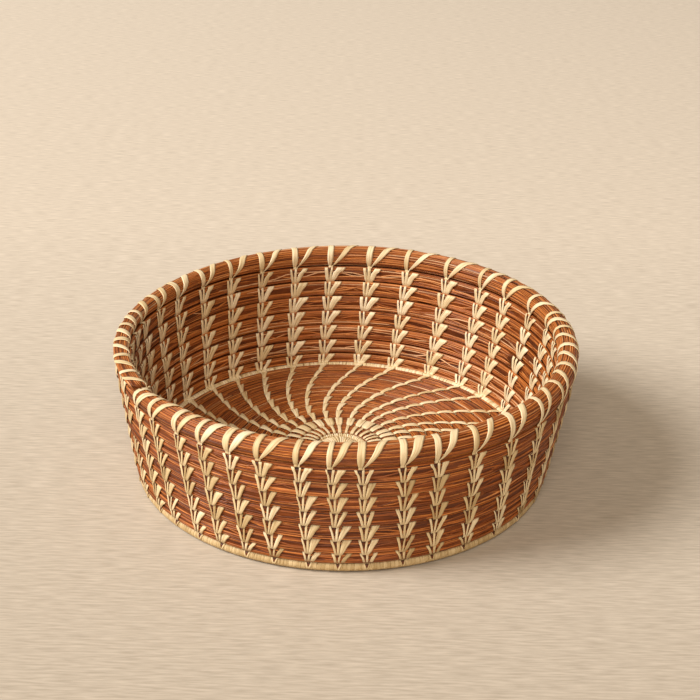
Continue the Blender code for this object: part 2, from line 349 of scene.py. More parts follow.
def streaks(tree, pattern):
    acrossScale, alongScale, detail = pattern
    scaled = []
    for attribute, scale in (("across", acrossScale), ("along", alongScale), ("tone", toneScale)):
        scaled.append(addNode(tree, "ShaderNodeMath", {0: readAttribute(tree, attribute), 1: scale},
                              operation="MULTIPLY").outputs[0])
    where = addNode(tree, "ShaderNodeCombineXYZ", dict(zip("XYZ", scaled)))
    noise = addNode(tree, "ShaderNodeTexNoise", {"Vector": where.outputs[0], "Scale": 1.0,
                                                 "Detail": detail, "Roughness": 0.6})
    return noise.outputs["Fac"]


# The reddish-brown needles, from a dark to a pale tone, with patches and fine lines along them
needleLook = {
    "tones": (
        # the tones below the needles' darkest serve only the painted shade in the stitch holes
        (0.0, (0.016, 0.005, 0.0018)), (0.1, (0.085, 0.019, 0.003)), (0.25, (0.205, 0.048, 0.006)),
        (0.5, (0.37, 0.102, 0.016)), (0.75, (0.52, 0.178, 0.038)), (0.92, (0.63, 0.28, 0.10)),
        (1.0, (0.70, 0.40, 0.21)),
    ),
    "patches": (0.5, 90.0, 3.0),
    "patchShades": ((0.3, (0.64, 0.57, 0.50)), (0.7, (1.22, 1.20, 1.15))),
    "lines": (3.5, 22.0, 1.0),
    "lineShades": ((0.36, (0.55, 0.5, 0.45)), (0.5, (1.0, 1.0, 1.0)), (0.66, (1.22, 1.25, 1.3))),
    "fibres": (6.0, 160.0, 2.0),
    "bumpStrength": 0.25,
    "bumpDistance": 0.1 * mm,
    "roughness": 0.45,
    "specular": 0.35,
}


def makeNeedleMaterial():
    material, tree, shader = startMaterial("pineNeedle")
    colour = addRamp(tree, readAttribute(tree, "tone"), needleLook["tones"])
    patches = addRamp(tree, streaks(tree, needleLook["patches"]), needleLook["patchShades"])
    colour = mixColours(tree, "MULTIPLY", 1.0, colour, patches)
    lines = addRamp(tree, streaks(tree, needleLook["lines"]), needleLook["lineShades"])
    colour = mixColours(tree, "MULTIPLY", 1.0, colour, lines)
    tree.links.new(colour, shader.inputs["Base Color"])
    shader.inputs["Roughness"].default_value = needleLook["roughness"]
    shader.inputs["Specular IOR Level"].default_value = needleLook["specular"]
    addBump(tree, shader, streaks(tree, needleLook["fibres"]), needleLook)
    return material


# The pale strand, with fibres that show in its colour and its surface
raffiaLook = {
    "tones": (
        # tone 0 is reached only by the painted shade under the corner ring
        (0.0, (0.16, 0.095, 0.04)), (0.1, (0.50, 0.34, 0.15)), (0.35, (0.75, 0.565, 0.31)),
        (0.75, (0.85, 0.68, 0.43)), (1.0, (0.92, 0.765, 0.53)),
    ),
    "fibres": (2.8, 45.0, 4.0),
    "fibreShades": ((0.32, (0.62, 0.53, 0.39)), (0.5, (0.97, 0.96, 0.94)), (0.7, (1.10, 1.11, 1.14))),
    "bumpStrength": 0.5,
    "bumpDistance": 0.15 * mm,
    "roughness": 0.58,
}


def makeRaffiaMaterial():
    material, tree, shader = startMaterial("raffiaStrand")
    colour = addRamp(tree, readAttribute(tree, "tone"), raffiaLook["tones"])
    fibres = streaks(tree, raffiaLook["fibres"])
    shade = addRamp(tree, fibres, raffiaLook["fibreShades"])
    colour = mixColours(tree, "MULTIPLY", 1.0, colour, shade)
    tree.links.new(colour, shader.inputs["Base Color"])
    shader.inputs["Roughness"].default_value = raffiaLook["roughness"]
    addBump(tree, shader, fibres, raffiaLook)
    return material


needleMaterial = makeNeedleMaterial()
raffiaMaterial = makeRaffiaMaterial()
print("materials made")


# Pieces

def addPiece(name, mesh, material, nodes):
    mesh.materials.clear()
    mesh.materials.append(material)
    piece = bpy.data.objects.new(name, mesh)
    bpy.context.collection.objects.link(piece)
    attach(piece, "root")
    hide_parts(*nodes)
    print(name, "made:", len(mesh.polygons), "faces")
    return piece


def writeAttribute(mesh, name, values):
    layer = mesh.attributes.new(name, "FLOAT", "POINT")
    layer.data.foreach_set("value", values)


# The bundles of needles: short needles laid end over end in lanes round each coil

needles = {
    "radius": 0.43 * mm,
    "thickness": (0.8, 1.15),
    "endThickness": 0.6,
    "length": (90.0 * mm, 210.0 * mm),
    "early": 40.0,  # degrees that a lane's first needle may start before the bundle does
    "step": 7.0 * mm,
    "stepShare": 0.12,  # of the coil's radius at most
    "leastSteps": 6,
    "leastRadius": 8.0 * mm,
    "drift": 9.0,  # degrees round the bundle from end to end
    "wobble": 2.5,
    "wobbleWaves": 9.0,
    "tuck": 1.1 * mm,
    "tuckShare": 0.07,
    "overlap": 0.9,
    "lift": -0.38 * mm,
    "uneven": 0.14 * mm,
    "sway": 0.06 * mm,
    "swayWaves": 7.0,
    "highest": 0.13 * mm,  # of its top, so that the strands cover it
    # painted light: the needles are lighter inside the wall and the rim, and on top of the floor
    "tones": (0.42, 0.62),  # at the outside and at the inside of the wall and the rim
    "rimPaintedLightTones": (0.48, 0.66),
    "floorPaintedLightTones": (0.4, 0.48),  # underneath and on top
    "toneSpread": 0.23,  # every second needle is lighter, and the ones between are darker
    "darkest": 0.14,
    "endMerge": 0.001 * mm,  # closes the pointed ends
}


# The points of one needle, each with its thickness and its distance from the needle's start
def needlePoints(coil, first, last, lane, angle, length, span, draw):
    inner, outer, _, _ = sizesAt(coil, max(angle, first))
    radius = max((inner + outer) / 2, needles["leastRadius"])
    step = min(needles["step"], radius * needles["stepShare"])
    count = max(int(length / step), needles["leastSteps"])
    drift = draw.uniform(-needles["drift"], needles["drift"])
    phase = draw.uniform(0.0, math.tau)
    thick = draw.uniform(*needles["thickness"])
    lift = min(needles["lift"] + draw.gauss(0.0, needles["uneven"]),
               needles["highest"] - needles["radius"] * thick)
    points = []
    for number in range(count):
        share = number / (count - 1)
        at = angle + span * share
        if not first <= at <= last:
            continue
        around = lane + drift * (share - 0.5)
        around += needles["wobble"] * math.sin(phase + needles["wobbleWaves"] * share)
        ending = smooth(min(share, 1 - share) / needles["tuckShare"])
        tuck = needles["tuck"] * (1 - ending)
        sway = needles["sway"] * math.sin(2 * phase + needles["swayWaves"] * share)
        where = coilPoint(coil, at, around, lift + sway - tuck)
        points.append((where, thick * blend(needles["endThickness"], 1.0, ending), length * share))
    return points


# Painted light: lighter towards the inside of the wall and the rim, and towards the top of the floor
def needleTone(coil, lane, lighter, draw):
    turn = math.radians(lane)
    if coil is floorCoil:
        paintedLightSide, kind = math.sin(turn), "floorPaintedLightTones"
    else:
        paintedLightSide, kind = -math.cos(turn), "rimPaintedLightTones" if coil is rimCoil else "tones"
    tone = blend(*needles[kind], smooth(0.5 + 0.5 * paintedLightSide))
    tone += lighter * abs(draw.gauss(0.0, needles["toneSpread"]))
    return min(max(tone, needles["darkest"]), 1.0)


def addNeedles(name, coil, first, last, lanes, nodes, seed):
    draw = random.Random(seed)
    curve = bpy.data.curves.new(name, "CURVE")
    curve.dimensions = "3D"
    curve.bevel_depth = needles["radius"]
    curve.bevel_resolution = 1
    tones, alongs, counts = [], [], []
    for number, lane in enumerate(lanes):
        lighter = 1.0 if number % 2 else -1.0
        angle = first - draw.uniform(0.0, needles["early"])
        while angle < last:
            inner, outer, _, _ = sizesAt(coil, max(angle, first))
            radius = max((inner + outer) / 2, needles["leastRadius"])
            length = min(draw.uniform(*needles["length"]), radius * math.pi)
            span = math.degrees(length / radius)
            points = needlePoints(coil, first, last, lane, angle, length, span, draw)
            angle += span * needles["overlap"]
            if len(points) < 3:
                continue
            spline = curve.splines.new("POLY")
            spline.points.add(len(points) - 1)
            for point, (where, size, along) in zip(spline.points, points):
                point.co = (*where, 1.0)
                point.radius = size
            spline.points[0].radius = spline.points[-1].radius = 0.0
            counts.append(len(points))
            tones.append(needleTone(coil, lane, lighter, draw))
            alongs.append([along for _, _, along in points])
    holder = bpy.data.objects.new(name, curve)
    bpy.context.collection.objects.link(holder)
    graph = bpy.context.evaluated_depsgraph_get()
    mesh = bpy.data.meshes.new_from_object(holder.evaluated_get(graph))
    bpy.data.objects.remove(holder)
    sides = 4 + 2 * curve.bevel_resolution
    toneValues, alongValues = [], []
    for count, tone, along in zip(counts, tones, alongs):
        toneValues += [tone] * (count * sides)
        for distance in along:
            alongValues += [distance] * sides
    if len(toneValues) != len(mesh.vertices):
        raise RuntimeError(f"{name}: {len(toneValues)} values for {len(mesh.vertices)} points")
    writeAttribute(mesh, "tone", toneValues)
    writeAttribute(mesh, "along", alongValues)
    writeAttribute(mesh, "across", [(index % sides) / sides for index in range(len(mesh.vertices))])
    bm = bmesh.new()
    bm.from_mesh(mesh)
    bmesh.ops.remove_doubles(bm, verts=bm.verts[:], dist=needles["endMerge"])
    bm.to_mesh(mesh)
    bm.free()
    mesh.name = name
    return addPiece(name, mesh, needleMaterial, nodes)


# Tubes rolled up from copies of a grid. A tube is a list of rings of points, each with its values
# across, along and tone. Rings whose points meet close a tube at its ends.

tubeMerge = 0.0001 * mm


def rollTubes(name, tubes, material, nodes, closedRings=False):
    rows, sides = len(tubes[0]), len(tubes[0][0])
    steps = rows if closedRings else rows - 1
    bm = bmesh.new()
    made = bmesh.ops.create_grid(bm, x_segments=steps, y_segments=sides, size=1.0)["verts"]
    order = [(round((vert.co.x + 1) / 2 * steps) % rows, round((vert.co.y + 1) / 2 * sides) % sides)
             for vert in made]
    grid = bpy.data.meshes.new(name)
    bm.to_mesh(grid)
    bm.free()
    holder = bpy.data.objects.new(name, grid)
    bpy.context.collection.objects.link(holder)
    copies = holder.modifiers.new("copies", "ARRAY")
    copies.count = len(tubes)
    graph = bpy.context.evaluated_depsgraph_get()
    mesh = bpy.data.meshes.new_from_object(holder.evaluated_get(graph))
    bpy.data.objects.remove(holder)
    points = [tube[row][side] for tube in tubes for row, side in order]
    mesh.vertices.foreach_set("co", [part for where, _ in points for part in where])
    for index, layer in enumerate(("across", "along", "tone")):
        writeAttribute(mesh, layer, [values[index] for _, values in points])
    bm = bmesh.new()
    bm.from_mesh(mesh)
    bmesh.ops.remove_doubles(bm, verts=bm.verts[:], dist=tubeMerge)
    bmesh.ops.recalc_face_normals(bm, faces=bm.faces[:])
    for face in bm.faces:
        face.smooth = True
    bm.to_mesh(mesh)
    bm.free()
    mesh.name = name
    return addPiece(name, mesh, material, nodes)


# The core of each bundle, under the needles that show

core = {"fill": 0.91, "sides": 16, "step": 4.0, "alongStep": 10.0 * mm, "tone": 0.2}


def addCore(name, coil, first, last, material, nodes):
    count = math.ceil((last - first) / core["step"])
    rings = []
    for number in range(count + 1):
        angle = blend(first, last, number / count)
        fill = core["fill"] if 0 < number < count else 0.0
        ring = []
        for side in range(core["sides"]):
            share = side / core["sides"]
            where = coilPoint(coil, angle, fullTurn * share, 0.0, fill)
            ring.append((where, (share, number * core["alongStep"], core["tone"])))
        rings.append(ring)
    return rollTubes(name, [rings], material, nodes)


wallEnd = fullTurn * basket["wallRows"]
rimEnd = wallEnd + fullTurn + basket["rimPast"]
floorEnd = fullTurn * basket["floorRows"] + basket["floorLast"]

# The lanes round each bundle are spaced by its outline at one angle. The rows beside hide some.
bundles = {
    "wallLanes": 44,
    "wallSample": 500.0,
    "wallHidden": 0.22,  # a share of half the bundle's width, from its middle
    "rimLanes": 48,
    "rimSample": wallEnd + 150.0,
    "floorLanes": 40,
    "floorSample": 1500.0,
    "floorHidden": 0.25,
    "wallHalf": fullTurn * 3.5,
    "floorHalf": fullTurn * 7.0,
    "wallCorePast": 6.0,  # degrees that run on under the rim, and back from its start
    "wallNeedlesPast": 8.0,
    "rimCoreBefore": 4.0,
    "rimNeedlesBefore": 6.0,
}


def lanesOf(coil, angle, count):
    return aroundsAt(coil, angle, [number / count for number in range(count)])


wallLanes = [lane for lane in lanesOf(wallCoil, bundles["wallSample"], bundles["wallLanes"])
             if abs(math.cos(math.radians(lane))) > bundles["wallHidden"]]
rimLanes = lanesOf(rimCoil, bundles["rimSample"], bundles["rimLanes"])
floorLanes = [lane for lane in lanesOf(floorCoil, bundles["floorSample"], bundles["floorLanes"])
              if abs(math.sin(math.radians(lane))) > bundles["floorHidden"]]

addCore("wall_core", wallCoil, basket["wallStart"], wallEnd + bundles["wallCorePast"],
        needleMaterial, ["wall_coil"])
addCore("rim_core", rimCoil, wallEnd - bundles["rimCoreBefore"], rimEnd,
        needleMaterial, ["rim_coil"])
addCore("floor_core", floorCoil, basket["floorFirst"], floorEnd,
        needleMaterial, ["floor_coil"])
addNeedles("wall_needles_low", wallCoil, basket["wallStart"], bundles["wallHalf"],
           wallLanes, ["wall_coil"], seed=11)
addNeedles("wall_needles_high", wallCoil, bundles["wallHalf"], wallEnd + bundles["wallNeedlesPast"],
           wallLanes, ["wall_coil"], seed=12)
addNeedles("rim_needles", rimCoil, wallEnd - bundles["rimNeedlesBefore"], rimEnd,
           rimLanes, ["rim_coil"], seed=13)
addNeedles("floor_needles_inner", floorCoil, basket["floorFirst"], bundles["floorHalf"],
           floorLanes, ["floor_coil"], seed=14)
addNeedles("floor_needles_outer", floorCoil, bundles["floorHalf"], floorEnd,
           floorLanes, ["floor_coil"], seed=15)


# A flat strand that lies on the coils. Each step of its path has a coil, an angle along it, an
# around, the strand's two edges in metres along the coil, and how far it is raised there. Its ends
# go down between the needles.

strand = {
    "profile": ((-1.0, 0.2), (-0.6, 1.0), (0.0, 0.7), (0.6, 1.0), (1.0, 0.2),
                (0.6, -0.7), (0.0, -0.7), (-0.6, -0.7)),
    "thickness": 0.2 * mm,
    "lift": 0.36 * mm,
    "dip": 1.1 * mm,
}


def layStrand(path, startTone, endTone=None, lift=strand["lift"], thickness=strand["thickness"]):
    endTone = startTone if endTone is None else endTone
    rings, along, before = [], 0.0, None
    for step, (coil, angle, around, low, high, raised) in enumerate(path):
        atEnd = step in (0, len(path) - 1)
        inner, outer, _, _ = sizesAt(coil, angle)
        radius = (inner + outer) / 2 + (outer - inner) / 2 * math.cos(math.radians(around))
        level = lift - strand["dip"] if atEnd else lift + raised
        middle = coilPoint(coil, angle, around, level)
        along += (middle - before).length if before else 0.0
        before = middle
        tone = blend(startTone, endTone, step / (len(path) - 1))
        ring = []
        for out, up in strand["profile"]:
            offset = math.degrees(blend(low, high, (out + 1) / 2) / radius)
            where = coilPoint(coil, angle + offset, around, level if atEnd else level + thickness * up)
            ring.append((where, (out, along, tone)))
        rings.append(ring)
    return rings


def coilAngle(angle, row):
    return (angle - basket["endAngle"]) % fullTurn + fullTurn * (row - 1)


def columnAngle(angle, row, lean=1.0):
    phase = columns["wanderByAngle"] * angle + columns["wanderByRow"] * row
    wander = columns["wander"] * math.sin(phase)
    return angle + columns["leanPerRow"] * lean * (basket["wallRows"] - row) + wander


def bounded(value):
    return min(max(value, 0.0), 1.0)


# The V stitches of the wall: a strand split in three that fans out from one hole to the next row.
# Each key of a leg has its share of the way up, and its edges in millimetres from the line of holes.

vStitch = {
    "shares": (0.0, 0.05, 0.15, 0.32, 0.55, 0.8, 0.96, 1.0),
    "raised": (0.0, 0.6 * mm, 0.4 * mm, 0.1 * mm, 0.0, 0.05 * mm, 0.2 * mm, 0.0),
    "outside": (
        ((0.0, -0.9, -0.2), (0.12, -1.4, -0.25), (0.45, -2.0, -0.9), (1.0, -3.1, -1.85)),
        ((0.0, -0.4, 0.3), (0.12, -0.45, 0.55), (0.45, -0.15, 1.0), (1.0, 0.5, 1.75)),
        ((0.0, -0.1, 1.1), (0.12, 0.35, 1.8), (0.45, 1.8, 4.3), (1.0, 3.7, 7.4)),
    ),
    "inside": (
        ((0.0, -1.1, 0.0), (0.12, -2.0, -0.3), (0.3, -2.7, -0.8), (0.6, -3.3, -1.6), (1.0, -3.6, -2.2)),
        ((0.0, -0.5, 0.6), (0.12, -0.8, 0.8), (0.45, -0.8, 0.9), (1.0, -0.7, 0.8)),
        ((0.0, -0.2, 1.4), (0.12, 0.1, 2.3), (0.45, 1.0, 4.7), (0.75, 2.4, 6.9), (1.0, 4.0, 8.6)),
    ),
    "widthShares": ((0.6, 1.7), (0.65, 1.5), (0.55, 1.45)),
    "leftShift": (-0.3, 0.2),
    "closeness": (-0.9, 0.6),
    "middleShare": 0.3,  # how much of the right leg's shift the middle leg follows
    "innerLean": 0.75,  # a share of the outer lean
    "bottomAround": -80.0,
    "topAround": 60.0,
    "lastTopArounds": (30.0, 52.0),  # outside and inside in the top row, under the rim's strands
    "cornerArounds": (34.0, 46.0, 62.0),
    "lineArounds": (215.0, 175.0, 140.0),
    "lowAround": -48.0,
    "outsideTones": (0.15, 0.8),
    "toneSpread": 0.15,
    "leastTone": 0.12,
    # painted light: the stitches inside the wall are given lighter tones than those outside
    "insideLitTones": (0.5, 0.9),
    # the hole is a dark sheet of painted shade, darkest right under the stitch above
    "hole": {"from": 0.5, "to": 0.97, "steps": 5, "underLegs": 0.15 * mm, "lift": 0.2 * mm,
             "thickness": 0.06 * mm, "tones": (0.3, 0.0)},
    "foot": {"shares": (0.0, 0.05, 0.15, 0.35, 0.6, 0.82, 0.95, 1.0), "arounds": (-14.0, 44.0),
             "left": ((0.0, -0.7, 0.1), (1.0, -2.0, -1.1)), "right": ((0.0, -0.1, 0.7), (1.0, 1.1, 2.1)),
             # the foot's hole is a dark sheet of painted shade as well
             "holeArounds": (-4.0, 46.0), "hole": ((0.0, -0.2, 0.2), (1.0, -1.15, 1.15)),
             "holeRaised": 0.1 * mm, "tones": (0.1, 0.5)},
}


def topAround(row, side):
    if row < basket["wallRows"]:
        return vStitch["topAround"]
    return vStitch["lastTopArounds"][0 if side > 0 else 1]


def facing(side, around):  # side is 1 outside the wall and -1 inside
    return around if side > 0 else halfTurn - around


# The coil and around of each step of a leg. The lowest stitches start on the corner ring outside,
# and on the pale line inside.
def legSteps(row, side, angle):
    shares = vStitch["shares"]
    if row > 1:
        arounds = aroundsAt(wallCoil, angle, shares, vStitch["bottomAround"], topAround(row, side))
        return [(wallCoil, facing(side, around)) for around in arounds]
    low = cornerCoil if side > 0 else beadCoil
    lowArounds = vStitch["cornerArounds"] if side > 0 else vStitch["lineArounds"]
    first = len(lowArounds)
    rest = [(share - shares[first - 1]) / (1 - shares[first - 1]) for share in shares[first:]]
    arounds = aroundsAt(wallCoil, angle, rest, vStitch["lowAround"], vStitch["topAround"])
    return ([(low, around) for around in lowArounds]
            + [(wallCoil, facing(side, around)) for around in arounds])


def layV(strands, shadeHoles, angle, row, side, draw):
    lean = 1.0 if side > 0 else vStitch["innerLean"]
    low = coilAngle(columnAngle(angle, row - 1, lean), row)
    high = coilAngle(columnAngle(angle, row, lean), row)
    if high - low > halfTurn:
        low += fullTurn
    if low - high > halfTurn:
        high += fullTurn
    steps = legSteps(row, side, low)
    tone = draw.uniform(*vStitch["outsideTones" if side > 0 else "insideLitTones"])
    close = draw.uniform(*vStitch["closeness"])
    shaped = []
    for number, keys in enumerate(vStitch["outside" if side > 0 else "inside"]):
        wide = draw.uniform(*vStitch["widthShares"][number])
        shift = (draw.uniform(*vStitch["leftShift"]), vStitch["middleShare"] * close, close)[number]
        leg = []
        for share, start, end in keys:
            grown = blend(1.0, wide, share)
            middle = end if number == 0 else (start + end) / 2  # the left leg widens to the left
            leg.append((share, middle + (start - middle) * grown + shift * share,
                        middle + (end - middle) * grown + shift * share))
        shaped.append(leg)
        path = []
        for (coil, around), share, raised in zip(steps, vStitch["shares"], vStitch["raised"]):
            edges = sorted(side * edge for edge in edgesAt(leg, share))
            path.append((coil, blend(low, high, share), around, *edges, raised))
        strandTone = bounded(tone + draw.uniform(-vStitch["toneSpread"], vStitch["toneSpread"]))
        strands.append(layStrand(path, max(strandTone, vStitch["leastTone"])))
    shadeHoles.append(layShadeHole(shaped, low, high, row, side))


# Painted shade: a dark sheet in the shaded opening between the first two legs, under the stitch above
def layShadeHole(legs, low, high, row, side):
    hole = vStitch["hole"]
    shares = [blend(hole["from"], hole["to"], step / hole["steps"]) for step in range(hole["steps"] + 1)]
    arounds = aroundsAt(wallCoil, low, shares, vStitch["bottomAround"], topAround(row, side))
    path = []
    for share, around in zip(shares, arounds):
        opened = smooth((share - hole["from"]) / (hole["to"] - hole["from"]))
        left, right = edgesAt(legs[0], share)[1], edgesAt(legs[1], share)[0]
        middle, half = (left + right) / 2, max(right - left, 0.0) / 2 * opened + hole["underLegs"]
        edges = sorted((side * (middle - half), side * (middle + half)))
        path.append((wallCoil, blend(low, high, share), facing(side, around), *edges, 0.0))
    return layStrand(path, *hole["tones"], hole["lift"], hole["thickness"])


# Under each line of stitches a last split strand lies on the corner ring, with a dark sheet of painted
# shade in its hole
def layFoot(strands, shadeHoles, angle, draw):
    foot = vStitch["foot"]
    at = coilAngle(columnAngle(angle, 0), 1)
    arounds = aroundsAt(cornerCoil, at, foot["shares"], *foot["arounds"])
    for keys in (foot["left"], foot["right"]):
        path = [(cornerCoil, at, around, *edgesAt(keys, share), 0.0)
                for share, around in zip(foot["shares"], arounds)]
        strands.append(layStrand(path, draw.uniform(*foot["tones"])))
    hole = vStitch["hole"]
    shares = [step / hole["steps"] for step in range(hole["steps"] + 1)]
    arounds = aroundsAt(cornerCoil, at, shares, *foot["holeArounds"])
    path = [(cornerCoil, at, around, *edgesAt(foot["hole"], share), foot["holeRaised"])
            for share, around in zip(shares, arounds)]
    shadeHoles.append(layStrand(path, *hole["tones"], hole["lift"], hole["thickness"]))


def addWallStitches(name, shadeHoles, side, seed):
    draw = random.Random(seed)
    strands = []
    for angle in columnAngles:
        for row in range(1, basket["wallRows"] + 1):
            layV(strands, shadeHoles, angle, row, side, draw)
        if side > 0:
            layFoot(strands, shadeHoles, angle, draw)
    return rollTubes(name, strands, raffiaMaterial, stitchNodes)


paintedShadeHoles = []
addWallStitches("outer_stitches", paintedShadeHoles, side=1, seed=21)
addWallStitches("inner_stitches", paintedShadeHoles, side=-1, seed=22)
# Painted shade: dark sheets in the stitch holes, in the needles' darkest tones
rollTubes("stitch_hole_shade", paintedShadeHoles, needleMaterial, ["wall_coil"])

# The rim's stitches: one strand straight over the rim and one slanted to the next hole. Each key
# has its share of the way from a hole to the top, and the strand's edges in millimetres. Both ends
# run on to the row below, where each step has its around and how far it is raised.

rimStitch = {
    "bottomAround": -50.0,
    "outerEnds": ((20.0, 0.0), (27.0, 0.4 * mm), (42.0, 0.5 * mm)),
    "innerEnds": ((34.0, 0.0), (44.0, 0.4 * mm), (58.0, 0.5 * mm)),
    "shares": (0.0, 0.04, 0.09, 0.16, 0.24, 0.32, 0.41, 0.5, 0.59, 0.68, 0.76, 0.84, 0.91, 0.96, 1.0),
    "straight": ((0.0, -1.8, 0.2), (0.08, -2.0, 0.3), (0.2, -2.2, 0.5), (0.38, -2.45, 0.75),
                 (1.0, -2.3, 0.9)),
    "slanted": ((0.0, 0.2, 1.1), (0.1, 0.0, 1.5), (0.2, -0.3, 1.9), (0.38, -0.8, 2.4),
                (0.6, -1.1, 2.8), (1.0, -2.1, 2.4)),
    "raised": 0.45 * mm,
    "raisedShare": 0.1,
    "wideningShare": 0.25,
    "straightWide": (0.85, 1.3),
    "slantedWide": (0.85, 1.2),
    "tones": (0.3, 0.82),
}


# The edges at a share of the whole way over: the inner side is the outer one turned round
def rimEdges(keys, share, wide):
    fromHole = 2 * min(share, 1 - share)
    low, high = edgesAt(keys, fromHole)
    widened = blend(1.0, wide, bounded(fromHole / rimStitch["wideningShare"]))
    middle, half = (low + high) / 2, (high - low) / 2 * widened
    if share > 0.5:
        middle = -middle
    top = smooth(bounded((fromHole - 0.5) * 2))
    return middle * (1 - top) - half, middle * (1 - top) + half


def layOverRim(angle, after, keys, wide, draw):
    start = coilAngle(angle, basket["wallRows"] + 1)
    if start < wallEnd + basket["rimPast"] / 2:  # over the rim's end, not its start
        start += fullTurn
    span = (after - angle) % fullTurn
    last = halfTurn - rimStitch["bottomAround"]
    arounds = aroundsAt(rimCoil, bundles["rimSample"], rimStitch["shares"],
                        rimStitch["bottomAround"], last)
    below = start - fullTurn
    path = [(wallCoil, below, around, *rimEdges(keys, 0.0, wide), raised)
            for around, raised in rimStitch["outerEnds"]]
    for share, around in zip(rimStitch["shares"], arounds):
        ending = smooth(min(share, 1 - share) / rimStitch["raisedShare"])
        raised = rimStitch["raised"] * (1 - ending)
        path.append((rimCoil, start + span * share, around, *rimEdges(keys, share, wide), raised))
    path += [(wallCoil, below + span, halfTurn - around, *rimEdges(keys, 1.0, wide), raised)
             for around, raised in reversed(rimStitch["innerEnds"])]
    return layStrand(path, draw.uniform(*rimStitch["tones"]))


def addRimStitches(seed):
    draw = random.Random(seed)
    strands = []
    for number, angle in enumerate(columnAngles):
        after = columnAngles[(number + 1) % len(columnAngles)]
        strands.append(layOverRim(angle, angle, rimStitch["straight"],
                                  draw.uniform(*rimStitch["straightWide"]), draw))
        strands.append(layOverRim(angle, after, rimStitch["slanted"],
                                  draw.uniform(*rimStitch["slantedWide"]), draw))
    return rollTubes("rim_stitches", strands, raffiaMaterial, stitchNodes)


addRimStitches(seed=31)

# The floor's stitches: leaves cut off wide at their outer ends, in lines that swirl. Each key has
# its share of the way out, and the leaf's edges in millimetres.

leaf = {
    "first": ((0.0, -1.0, 1.0), (1.0, -1.1, 1.0)),
    "second": ((0.0, -1.5, 1.1), (0.2, -2.5, 1.7), (1.0, -2.9, 1.9)),
    "secondWider": (0.72, 1.2),  # elsewhere and at the back
    "others": ((0.0, -0.6, 1.3), (0.3, -1.5, 1.4), (0.7, -2.7, 1.4), (1.0, -3.4, 1.3)),
    "raised": (0.0, 0.1 * mm, 0.0, 0.0, 0.0, 0.1 * mm, 0.3 * mm, 0.0),
    "tones": (0.3, 0.78),
    "shares": (0.0, 0.05, 0.2, 0.4, 0.62, 0.82, 0.96, 1.0),
    "topFrom": 154.0,
    "topTo": 26.0,
    "sizes": (0.8, 1.15),
    "leastRow": 0.4,  # a row narrower than this share of its full width gets no leaf
}


def swirl(radius):
    inwards = columns["swirlStart"] - max(radius, columns["swirlStop"])
    lag = columns["swirlLag"] * smooth(inwards / columns["swirlLagEnd"]) * radius / columns["swirlStart"]
    return columns["swirlPerMm"] * inwards / mm - lag


def rayAngle(angle, radius):
    return columnAngle(angle, 0, vStitch["innerLean"]) + swirl(radius)


def floorCoilAngle(angle, row):
    return (angle - basket["endAngle"]) % fullTurn + fullTurn * row


def addFloorStitches(name, below, nodes, seed):
    draw = random.Random(seed)
    strands = []
    arounds = aroundsAt(floorCoil, bundles["floorSample"], leaf["shares"],
                        leaf["topFrom"], leaf["topTo"])
    for angle in columnAngles:
        for row in range(basket["floorRows"] + 1):
            guess = rayAngle(angle, basket["buttonRadius"] + floorPitch * (row + 0.5))
            past = (guess - basket["endAngle"]) % fullTurn
            inner, outer = floorLine(row - 1, past), floorLine(row, past)
            if outer - inner < leaf["leastRow"] * floorPitch:
                continue
            innerAngle = floorCoilAngle(rayAngle(angle, inner), row)
            outerAngle = floorCoilAngle(rayAngle(angle, outer), row)
            if abs(innerAngle - outerAngle) > halfTurn:
                continue
            keys = leaf["first"] if row == 0 else leaf["second"] if row == 1 else leaf["others"]
            size = draw.uniform(*leaf["sizes"])
            if row == 1:
                size *= blend(*leaf["secondWider"], smooth(math.sin(math.radians(guess))))
            path = []
            for share, around, raised in zip(leaf["shares"], arounds, leaf["raised"]):
                edges = [size * edge for edge in edgesAt(keys, share)]
                path.append((floorCoil, blend(innerAngle, outerAngle, share),
                             -around if below else around, *edges, raised))
            strands.append(layStrand(path, draw.uniform(*leaf["tones"])))
    return rollTubes(name, strands, raffiaMaterial, nodes)


addFloorStitches("floor_stitches", below=False, nodes=stitchNodes, seed=41)
addFloorStitches("under_stitches", below=True, nodes=["under_stitching"], seed=42)

# Close wraps of strand round a coil: the button, the corner ring and the line above it

wrap = {
    "profile": ((-1.0, -0.6), (-0.5, 0.9), (0.5, 1.0), (1.0, -0.3), (0.0, -1.0)),
    "acrossShare": 0.5,
    "alongLength": 24.0 * mm,
    "slant": 0.2,  # a share of a wrap's width, either way
    "widths": (0.75, 1.25),
    "shadeFrom": 0.3,  # how far down the painted shade under the foot starts
    "corner": {"sides": 18, "thickness": 0.1 * mm, "overlap": 1.35, "tones": (0.1, 0.27), "paintedShade": True},
    "line": {"sides": 8, "thickness": 0.16 * mm, "overlap": 1.2, "tones": (0.3, 0.9), "paintedShade": False},
    "button": {"sides": 14, "thickness": 0.3 * mm, "overlap": 0.95, "tones": (0.35, 1.0), "paintedShade": False},
    "cornerCount": 400,
    "lineCount": 280,
    "buttonCounts": (7, 36, 56),  # in its first, second and third turn
    "buttonStart": 60.0,
    "buttonCut": 40.0,
    "buttonWrapStart": 150.0,
    "buttonWrapCut": 60.0,
}


